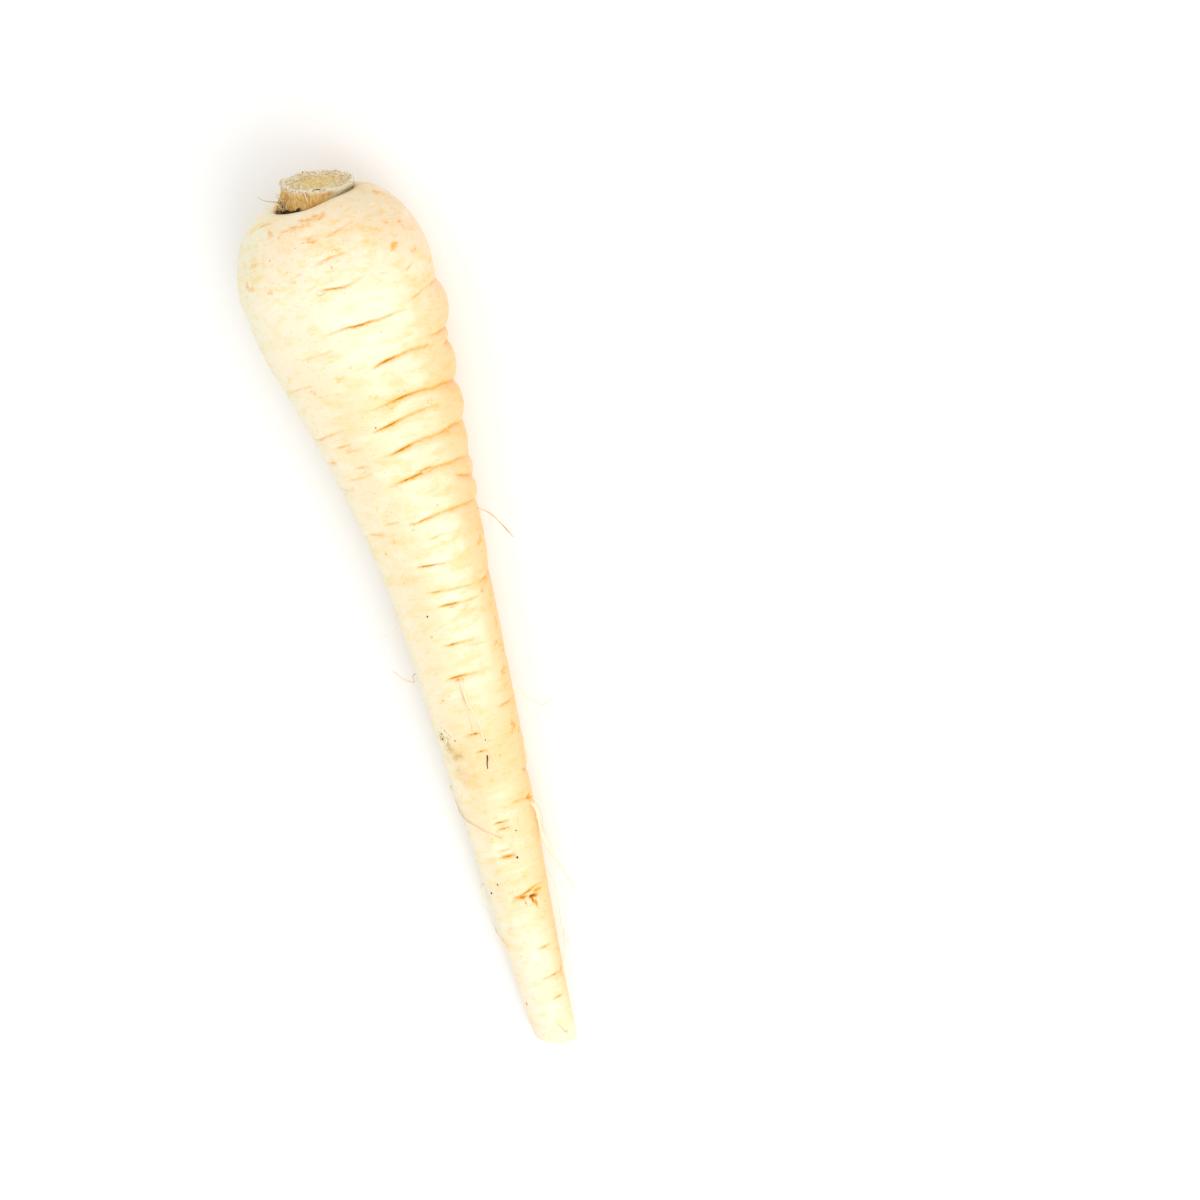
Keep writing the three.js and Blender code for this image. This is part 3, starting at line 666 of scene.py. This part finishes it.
def build_side_root(seed, thick, thin, brown, *bends):
    path = smooth_path(on_skin(*np.array(bends, float).T), SIDE_ROOT_STEP)
    wave = np.stack([noises(path, [(*WAVES, seed + axis)]) for axis in range(3)], axis=-1)
    path = path + wave
    share = np.linspace(0, 1, len(path))
    knots = 1 + noises(path, [(*KNOTS, seed + 3)])
    rings = tube(path, lerp(thick, thin, share) * knots, SIDE_ROOT_SIDES)
    vertices, faces = capped(rings, path[0], path[-1])
    brown = brown + noises(vertices, [(*BROWNER, seed + 4)])
    return vertices, faces, {"brown": np.clip(brown, 0, 1)}


threads = [build_side_root(THREAD_SEED + SEED_STEP * number, *row) for number, row in enumerate(SIDE_ROOTS)]
side_roots = mesh_object("side_roots", *join(threads))
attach(side_roots, "root")


# ---------- soil ----------
def fibre(path, thick, brown):
    path = smooth_path(path, FIBRE_STEP)
    rings = tube(path, np.linspace(thick, FIBRE_TAPER * thick, len(path)), FIBRE_SIDES)
    vertices, faces = capped(rings, path[0], path[-1])
    return vertices, faces, {"brown": brown}


def build_soil():
    draw = np.random.default_rng(HAIR_SEED)
    bodies = []
    for along, angle, size in SOIL:
        alongs, angles = along + SPECK_REACH * size * np.array((-1, 0, 1)), angle + np.array((0, 1, 0))
        bodies.append(fibre(on_skin(alongs, angles, SPECK_HEIGHTS), size, 1))
    bodies.append(fibre(on_skin(*np.array(SLIVER).T), SLIVER_THICK, 1))
    for _ in range(HAIRS):
        along, angle = (draw.uniform(*limits) for limits in HAIR_PLACE)
        length, heading = draw.uniform(*HAIR_LENGTH), draw.uniform(*HAIR_TURN)
        steps = np.linspace(-0.5, 0.5, 5)
        alongs = along + length * math.cos(heading) * steps
        across = length * (math.sin(heading) * steps + draw.uniform(*HAIR_CURL) * steps**2)
        path = on_skin(alongs, angle + np.degrees(across / radius_at(along)), HAIR_HEIGHT)
        bodies.append(fibre(path, draw.uniform(*HAIR_THICK), 1))
    return join(bodies)


soil = mesh_object("soil_specks", *build_soil())
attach(soil, "root")


# ---------- the stump ----------
def stump_place(along, angle, radius):
    """Points of the stump: it leans, and its cut is slanted."""
    out = ease(-0.5, STUMP_HEIGHT, -along)
    side, up = around(angle, radius)
    slant = up * math.tan(math.radians(STUMP_SLANT_UP)) + side * math.tan(math.radians(STUMP_SLANT_SIDE))
    points = place(along + slant * out, angle, radius)
    points[..., 1] += lerp(STUMP_FOOT_SHIFT, STUMP_TOP_SHIFT, out)
    return points


def stump_narrowing(share, angle):
    """How far the side has narrowed, at a share of the way up: late on the right, and early on the left."""
    early, late = 0.8 * ease(0.5, 0.8, share), ease(0.62, 1, share)
    return lerp(np.maximum(early, late), late - 0.15 * (1 - late), between(angle, (-10, 60), (170, 120)))


def stump_profile():
    """Rows of points: share of the way up or radius, distance, and 0 on the side or 1 on the cut."""
    rows = []
    for share in np.linspace(0, 1, SIDE_ROWS):
        rows.append((share, lerp(SOCKET_DEPTH - STUMP_SINK, -STUMP_HEIGHT + STUMP_LIP, share), 0))
    for share in np.linspace(0, 1, CUT_ROWS)[1:-1]:
        dish = STUMP_DISH * float(ease(0, 0.35, share))
        rows.append((STUMP_TOP * CUT_SHARE * (1 - share), -STUMP_HEIGHT + dish, 1))
    return np.array(rows)


def build_stump():
    angles = turn(0, np.arange(STUMP_COLUMNS) * 360 / STUMP_COLUMNS)
    radius, angle, along, top = ring_grid(stump_profile(), angles)
    radius[:SIDE_ROWS] = lerp(STUMP_BASE, STUMP_TOP, stump_narrowing(radius[:SIDE_ROWS], angle[:SIDE_ROWS]))
    spots = np.stack([along, *around(angle, radius)], axis=-1)
    flat = spots * (0, 1, 1)
    share = radius / STUMP_TOP

    # The side has ribs, a crust at the foot on the left, a near-black painted shade on the left where the
    # foot meets the hollow, and a lump at the cut's left end.
    waves = np.cos(np.radians(RIBS * angle + noises(spots, RIB_BENDS)))
    ribs = RIB_DEPTH * waves + noises(spots * (0.12, 1, 1), GRAIN)
    crust_top = lerp(*CRUST_TOPS, ease(-68, -24, angle))
    crust = between(angle, (-112, -86), (-6, -50))
    crust *= ease(crust_top, crust_top + CRUST_EDGE, along + noises(spots, CRUST_BENDS))
    # Painted shade: near black where the foot meets the hollow, below the rim on the left.
    wedge = ease(0.3, 0.7, along + noises(spots, GAP_SHADE_BENDS)) * window(-46, 38, angle)
    rough = crust * (CRUST_HEIGHT + CRUMBS_SHARE * noises(spots, CRUMBS))
    near_top = (1 - top) * ease(-STUMP_HEIGHT + LUMP_START, -STUMP_HEIGHT, along)
    outward = (1 - top) * (ribs * ease(2, -1.5, along) + rough)
    radius_now = radius + outward + LUMP_HEIGHT * near_top * window(-96, 24, angle)

    # The cut has rings, a ragged rim, a curled left end and one slit.
    rings_wave = np.sin(radius * 2 * math.pi / CUT_RING_WIDTH + noises(flat, CUT_RING_BENDS))
    rim = ease(0.82, 0.97, share)
    ragged = noises(flat, RAGGED) * lerp(INNER_RAGGED, 1, rim)
    curl = window(-96, 20, angle) * ease(0.72, 0.95, share)
    lift = top * (CUT_RING_HEIGHT * rings_wave + noises(flat, CUT_WAVES) + ragged) + CURL_LIFT * curl
    slit_side, slit_up = spots[..., 1] - SLIT_SIDE, spots[..., 2] - SLIT_UP + noises(flat, SLIT_BENDS)
    slit = np.exp(-((slit_up / SLIT_HEIGHT) ** 2) - (slit_side / SLIT_WIDTH) ** 2)
    slit *= np.maximum(top, near_top)
    along_now = along - lift * np.maximum(top, near_top) + SLIT_DEPTH * slit

    return closed(stump_place(along_now, angle, radius_now), {
        "top": top,
        "slit": slit,
        "ring": top * (0.5 + 0.5 * rings_wave),
        "base": (1 - top) * np.maximum(ease(0.4, 1.6, along), crust),
        "wedge": (1 - top) * wedge,
        "heart": top * 0.8 * ease(0.7, 0.3, share),
        "rim": rim * np.maximum(top, 0.7 * near_top),
        "grey": between(angle, (5, 50), (170, 100)),
    })


def stump_skin(along, angle, height):
    share = (SOCKET_DEPTH - along) / (SOCKET_DEPTH + STUMP_HEIGHT)
    return stump_place(along, angle, lerp(STUMP_BASE, STUMP_TOP, stump_narrowing(share, angle)) + height)


def build_fibres():
    draw = np.random.default_rng(FIBRE_SEED)
    bodies = []
    for count, angles, distances, lengths, browns in FIBRE_SETS:
        for _ in range(count):
            angle, along, length = draw.uniform(*angles), draw.uniform(*distances), draw.uniform(*lengths)
            lean, side = draw.uniform(*FIBRE_LEAN), draw.uniform(*FIBRE_TURN)
            steps = np.linspace(0, 1, 5)
            curl = draw.uniform(*FIBRE_CURL) * steps**2
            path = stump_skin(
                along - length * steps * (1 - LEAN_SHORTENS * abs(lean)),
                angle + np.degrees(length * (side * steps + curl) / STUMP_TOP),
                -FIBRE_SINK + lean * length * steps,
            )
            bodies.append(fibre(path, draw.uniform(*FIBRE_THICK), draw.uniform(*browns)))
    bodies.append(fibre(stump_skin(*np.array(STRAND).T), STRAND_THICK, STRAND_BROWN))
    return join(bodies)


stump = mesh_object("stump_tissue", *build_stump())
fibres = mesh_object("stump_fibres", *build_fibres())
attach(fibres, "root")
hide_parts("leaf_stump")
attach(stump, "root")


# ---------- materials ----------
def rgb(*screen):
    """A colour given as screen values from 0 to 255."""
    share = np.array(screen) / 255
    return (*np.where(share <= 0.04045, share / 12.92, ((share + 0.055) / 1.055) ** 2.4), 1)


class Shader:
    """Adds a material's nodes, one call at a time. Values are numbers, colours or other nodes' sockets."""

    def __init__(self, name):
        self.material = bpy.data.materials.new(name)
        self.material.use_nodes = True
        self.tree = self.material.node_tree

    def feed(self, socket, value):
        if isinstance(value, bpy.types.NodeSocket):
            self.tree.links.new(value, socket)
        else:
            socket.default_value = value

    def node(self, kind, inputs=(), **settings):
        """A new node with its settings and inputs. Inputs go by name or number."""
        made = self.tree.nodes.new(kind)
        for name, value in settings.items():
            setattr(made, name, value)
        for key, value in dict(inputs).items():
            self.feed(made.inputs[key], value)
        return made

    def math(self, operation, *values):
        return self.node("ShaderNodeMath", enumerate(values), operation=operation).outputs[0]

    def times(self, first, *others):
        for other in others:
            first = self.math("MULTIPLY", first, other)
        return first

    def plus(self, one, other):
        return self.math("ADD", one, other)

    def scaled(self, value, factor, added):
        return self.math("MULTIPLY_ADD", value, factor, added)

    def spread(self, value, start, full, least=0.0, most=1.0):
        """Goes smoothly from least, where the value is at its start, to most, where it is full."""
        numbers = enumerate((value, start, full, least, most))
        return self.node("ShaderNodeMapRange", numbers, interpolation_type="SMOOTHSTEP").outputs[0]

    def mix(self, share, low, high, blend="MIX"):
        made = self.node("ShaderNodeMix", data_type="RGBA", blend_type=blend)
        inputs = {socket.name: socket for socket in made.inputs if socket.enabled}
        for name, value in (("Factor", share), ("A", low), ("B", high)):
            self.feed(inputs[name], value)
        return next(socket for socket in made.outputs if socket.enabled)

    def layers(self, colour, *rows):
        """A colour with others laid over it. Each row: how much, and a socket or screen values."""
        for share, *over in rows:
            colour = self.mix(share, colour, rgb(*over) if over[1:] else over[0])
        return colour

    def mask(self, name):
        return self.node("ShaderNodeAttribute", attribute_name=name).outputs["Fac"]

    def places(self, along=1, across=1, moved=(0, 0, 0)):
        """The piece's own coordinates in millimetres, moved, and stretched along and across the root."""
        coordinates = self.node("ShaderNodeTexCoord").outputs["Object"]
        inputs = {"Vector": coordinates, "Location": moved, "Scale": (along / MM, across / MM, across / MM)}
        return self.node("ShaderNodeMapping", inputs).outputs[0]

    def clouds(self, size, detail=3, rough=0.55, **where):
        """Noise with lumps of the given size."""
        inputs = {"Vector": self.places(**where), "Scale": 1 / size, "Detail": detail, "Roughness": rough}
        return self.node("ShaderNodeTexNoise", inputs).outputs["Fac"]

    def dots(self, spacing, radius, share, **where):
        """Small round dots, in a share of the cells of a loose net."""
        inputs = {"Vector": self.places(**where), "Scale": 1 / spacing}
        cells = self.node("ShaderNodeTexVoronoi", inputs).outputs
        pick = self.node("ShaderNodeSeparateColor", {0: cells["Color"]}).outputs
        size = self.plus(self.times(pick[1], radius / spacing), 0.4 * radius / spacing)
        ratio = self.math("DIVIDE", cells["Distance"], size)
        return self.times(self.math("LESS_THAN", pick[0], share), self.spread(ratio, 1.1, 0.6))

    def bump(self, height, strength, distance, under=None):
        inputs = {"Height": height, "Strength": strength, "Distance": distance * MM}
        if under is not None:
            inputs["Normal"] = under
        return self.node("ShaderNodeBump", inputs).outputs[0]

    def surfaced(self, inputs):
        """The material, with the inputs of its surface by name."""
        for name, value in inputs.items():
            self.feed(self.tree.nodes["Principled BSDF"].inputs[name], value)
        return self.material


def skin_material():
    shader = Shader("parsnip_skin")
    clouds, dots, mask, mix, layers = shader.clouds, shader.dots, shader.mask, shader.mix, shader.layers
    spread, times, plus, scaled = shader.spread, shader.times, shader.plus, shader.scaled
    patches = clouds(16, detail=2)
    mottle = clouds(3.0, detail=4, rough=0.6, across=0.4)
    fine = clouds(0.9, rough=0.6, across=0.4)
    grain = clouds(0.7, rough=0.6)
    clear = clouds(4.5, across=0.4, moved=(31, 7, 3))

    fuller = scaled(mask("cream"), 0.75, spread(patches, 0.35, 0.65, most=0.25))
    colour = layers(
        rgb(249, 234, 208),
        (fuller, 248, 222, 184),
        (mask("dull"), 238, 212, 164),
        (mask("grey"), 234, 218, 186),
        (spread(clear, 0.5, 0.72, most=0.4), 252, 244, 226),
        # Painted warm bounce light and shade on the right flank.
        (mask("flank"), 245, 201, 144),
        # Painted shade on the left flank: a greyer cream.
        (times(mask("shade"), 0.75), 240, 236, 208),
    )
    blotches = spread(clouds(1.8, detail=4, rough=0.65, across=0.5, moved=(3, 17, 5)), 0.5, 0.66, most=0.75)
    freckles = spread(clouds(0.5, detail=2, rough=0.5, across=0.6, moved=(11, 2, 9)), 0.6, 0.74)
    tints = (
        (spread(mottle, 0.47, 0.72, most=0.85), 0.9, 0.66),
        (spread(fine, 0.52, 0.76, most=0.8), 0.86, 0.56),
        (times(blotches, mask("crown")), 0.88, 0.6),
        (times(freckles, spread(patches, 0.45, 0.65, most=0.5)), 0.82, 0.45),
    )
    for share, green, blue in tints:
        colour = mix(share, colour, (1, green, blue, 1), "MULTIPLY")

    # Folds are painted darker orange the deeper they are: painted shade in the creases. Each has an orange
    # line and a torn brown core.
    gap = shader.math("ABSOLUTE", plus(mask("gap"), scaled(grain, 0.7, -0.35)))
    line = times(mask("line"), spread(gap, 0.6, 0.1), spread(fine, 0.3, 0.6, least=0.45))
    dark = mask("dark")
    glow = times(dark, spread(gap, 0.75, 0.1))
    slit = shader.math("DIVIDE", gap, shader.math("MAXIMUM", mask("thick"), 0.01))
    core = times(spread(slit, 1.3, 0.5), spread(dark, 0.1, 0.7))
    pit = plus(mask("pit"), scaled(grain, 0.4, -0.2))
    pores = dots(spacing=2.3, radius=0.3, share=0.18, across=0.7)
    specks = dots(spacing=1.1, radius=0.16, share=0.4, moved=(7, 3, 5))
    colour = layers(
        colour,
        # Painted highlight: near-white patches on the pillows along the top.
        (times(mask("bright"), spread(mottle, 0.62, 0.4, 0.05, 0.42)), 255, 248, 226),
        # Painted shade in the creases, by the depth of the folds and pits.
        (spread(mask("fold"), 0.5, 2.2, most=0.35), 238, 190, 116),
        (times(line, 0.85), 240, 170, 24),
        (spread(glow, 0.05, 0.9, most=0.8), 242, 174, 8),
        (times(core, 0.9), 150, 98, 2),
        (spread(pit, 0.12, 0.45, most=0.92), 232, 160, 14),
        (spread(pit, 0.44, 0.72), 152, 76, 4),
        (times(pores, 0.45), 234, 156, 36),
        (times(specks, spread(patches, 0.45, 0.6, 0.1, 0.7)), 230, 146, 24),
    )

    # Stains are smeared, and below the crown they break up into specks.
    smears = scaled(clouds(0.45, rough=0.65, across=0.3), 2.0, -1.05)
    specked = spread(clouds(0.5, detail=2, rough=0.7), 0.42, 0.58, least=0.1)
    stain = times(plus(mask("stain"), smears), spread(mask("stain"), 0.03, 0.3))
    stain = times(stain, shader.math("MAXIMUM", specked, mask("crown")))
    rust = mix(mask("crown"), rgb(230, 162, 40), rgb(240, 168, 24))
    bruise = times(mask("bruise"), spread(grain, 0.3, 0.7, 0.6, 1.1))
    # The cut tip is paler, and the hollow of the crown is brown.
    hollow = mix(spread(clouds(1.2, detail=4), 0.35, 0.7), rgb(60, 36, 18), rgb(140, 96, 50))
    colour = layers(
        colour,
        (spread(stain, -0.05, 0.9, most=0.82), rust),
        (spread(bruise, 0.0, 1.0, most=0.8), 196, 162, 88),
        (times(mask("cut"), 0.8), 244, 226, 184),
        (times(mask("edge"), spread(fine, 0.35, 0.65, 0.1, 0.9)), 232, 150, 52),
        (mask("hollow"), hollow),
    )
    shallow = shader.bump(clouds(0.55, across=0.4), strength=0.35, distance=0.12)
    return shader.surfaced({
        "Base Color": colour,
        "Roughness": spread(mottle, 0.3, 0.8, 0.42, 0.6),
        "Subsurface Weight": 0.25,
        "Subsurface Radius": (1.0, 0.55, 0.25),
        "Subsurface Scale": 2.5 * MM,
        "IOR": 1.35,
        "Normal": shader.bump(clouds(0.35, detail=2), strength=0.3, distance=0.06, under=shallow),
    })


def stump_material():
    shader = Shader("leaf_stump")
    clouds, mask, spread, times = shader.clouds, shader.mask, shader.spread, shader.times
    grain = clouds(0.5, along=0.15)
    patches = clouds(3, detail=4)
    spots = clouds(0.5, detail=4, rough=0.7)
    crust = shader.mix(spread(spots, 0.34, 0.58), rgb(52, 32, 14), rgb(188, 150, 88))
    side = shader.layers(
        rgb(192, 144, 64),
        (spread(grain, 0.3, 0.7), 220, 188, 120),
        (spread(patches, 0.48, 0.7, most=0.85), 176, 118, 40),
        (spread(mask("grey"), 0.1, 0.8, most=0.85), 196, 190, 158),
        (spread(spots, 0.56, 0.72, most=0.5), 120, 84, 40),
        (spread(mask("base"), 0.2, 0.9), crust),
        # Painted shade where the stump's foot meets the hollow.
        (spread(mask("wedge"), 0.3, 0.7, most=0.95), 20, 12, 6),
    )
    pale = shader.scaled(mask("heart"), -0.5, 0.9)
    cut = shader.layers(
        rgb(206, 168, 86),
        (spread(patches, 0.3, 0.7), 230, 212, 162),
        (spread(mask("ring"), 0.5, 1.0, most=0.6), 158, 116, 54),
        (mask("heart"), 222, 188, 100),
        (times(spread(spots, 0.46, 0.62), pale), 242, 236, 216),
        (spread(spots, 0.42, 0.3, most=0.5), 134, 98, 44),
    )
    colour = shader.layers(
        side,
        (mask("top"), cut),
        (times(mask("rim"), spread(spots, 0.38, 0.55, 0.35, 0.9)), 240, 236, 220),
        (times(mask("rim"), spread(spots, 0.46, 0.36, most=0.8)), 112, 92, 56),
        (spread(mask("slit"), 0.35, 0.6), 34, 24, 14),
    )
    rough = shader.bump(grain, strength=0.3, distance=0.12)
    normal = shader.bump(clouds(0.45, detail=4), strength=0.6, distance=0.2, under=rough)
    return shader.surfaced({"Base Color": colour, "Roughness": 0.85, "Normal": normal})


def side_root_material():
    shader = Shader("side_roots")
    tone = shader.spread(shader.mask("brown"), 0.1, 0.95)
    colour = shader.mix(tone, rgb(250, 236, 204), rgb(190, 132, 70))
    return shader.surfaced({"Base Color": colour, "Roughness": 0.6})


def plain_material(name, colour, roughness):
    return Shader(name).surfaced({"Base Color": colour, "Roughness": roughness})


root.data.materials.append(skin_material())
stump.data.materials.append(stump_material())
soil.data.materials.append(plain_material("soil", rgb(38, 30, 18), 0.9))
thread_material = side_root_material()
side_roots.data.materials.append(thread_material)
fibres.data.materials.append(thread_material)


# ---------- the stage ----------
along_picture = math.radians(PICTURE_TURN)
picture_right = Vector((math.sin(along_picture), math.cos(along_picture), 0))
picture_up = Vector((-math.cos(along_picture), math.sin(along_picture), 0))
aim = Vector(CROWN) + Vector(PICTURE_MIDDLE) * MM


def look_from(thing, place_from):
    """Turns a camera or a lamp at a place to face what the camera aims at."""
    back = (place_from - aim).normalized()
    right = picture_up.cross(back).normalized()
    axes = Matrix((right, back.cross(right), back)).transposed().to_4x4()
    thing.matrix_world = Matrix.Translation(place_from) @ axes


def add_camera():
    data = bpy.data.cameras.new("camera")
    data.sensor_width = SENSOR
    data.lens = SENSOR * CAMERA_DISTANCE / (PIXELS * PIXEL_SIZE)
    data.clip_start = CAMERA_CLIP * MM
    tilt = math.radians(CAMERA_TILT)
    back = Vector((0, 0, math.cos(tilt))) + picture_up * math.sin(tilt)
    bpy.context.scene.camera = add_object("camera", data)
    look_from(bpy.context.scene.camera, aim + back * CAMERA_DISTANCE * MM)


def add_lamp(name, right, up, above, width, power, colour=(255, 255, 255)):
    data = bpy.data.lights.new(name, "AREA")
    data.size, data.energy, data.color = width, power, rgb(*colour)[:3]
    look_from(add_object(name, data), aim + picture_right * right + picture_up * up + Vector((0, 0, above)))


def add_floor():
    mesh = bpy.data.meshes.new("floor")
    corners = [(-1, -1, 0), (1, -1, 0), (1, 1, 0), (-1, 1, 0)]
    mesh.from_pydata((np.array(corners) * FLOOR_HALF * MM).tolist(), [], [(0, 1, 2, 3)])
    mesh.materials.append(plain_material("white_surface", rgb(244, 245, 245), 0.9))
    floor = add_object("floor", mesh)
    floor.location.z = -FLOOR_DROP * MM


add_camera()
add_floor()
for lamp_name, lamp in LAMPS.items():
    add_lamp(lamp_name, *lamp)

world = bpy.data.worlds.new("studio")
world.use_nodes = True
background = world.node_tree.nodes["Background"].inputs
background["Color"].default_value = (1, 1, 1, 1)
background["Strength"].default_value = WORLD_STRENGTH
bpy.context.scene.world = world
bpy.context.scene.view_settings.view_transform = "Standard"
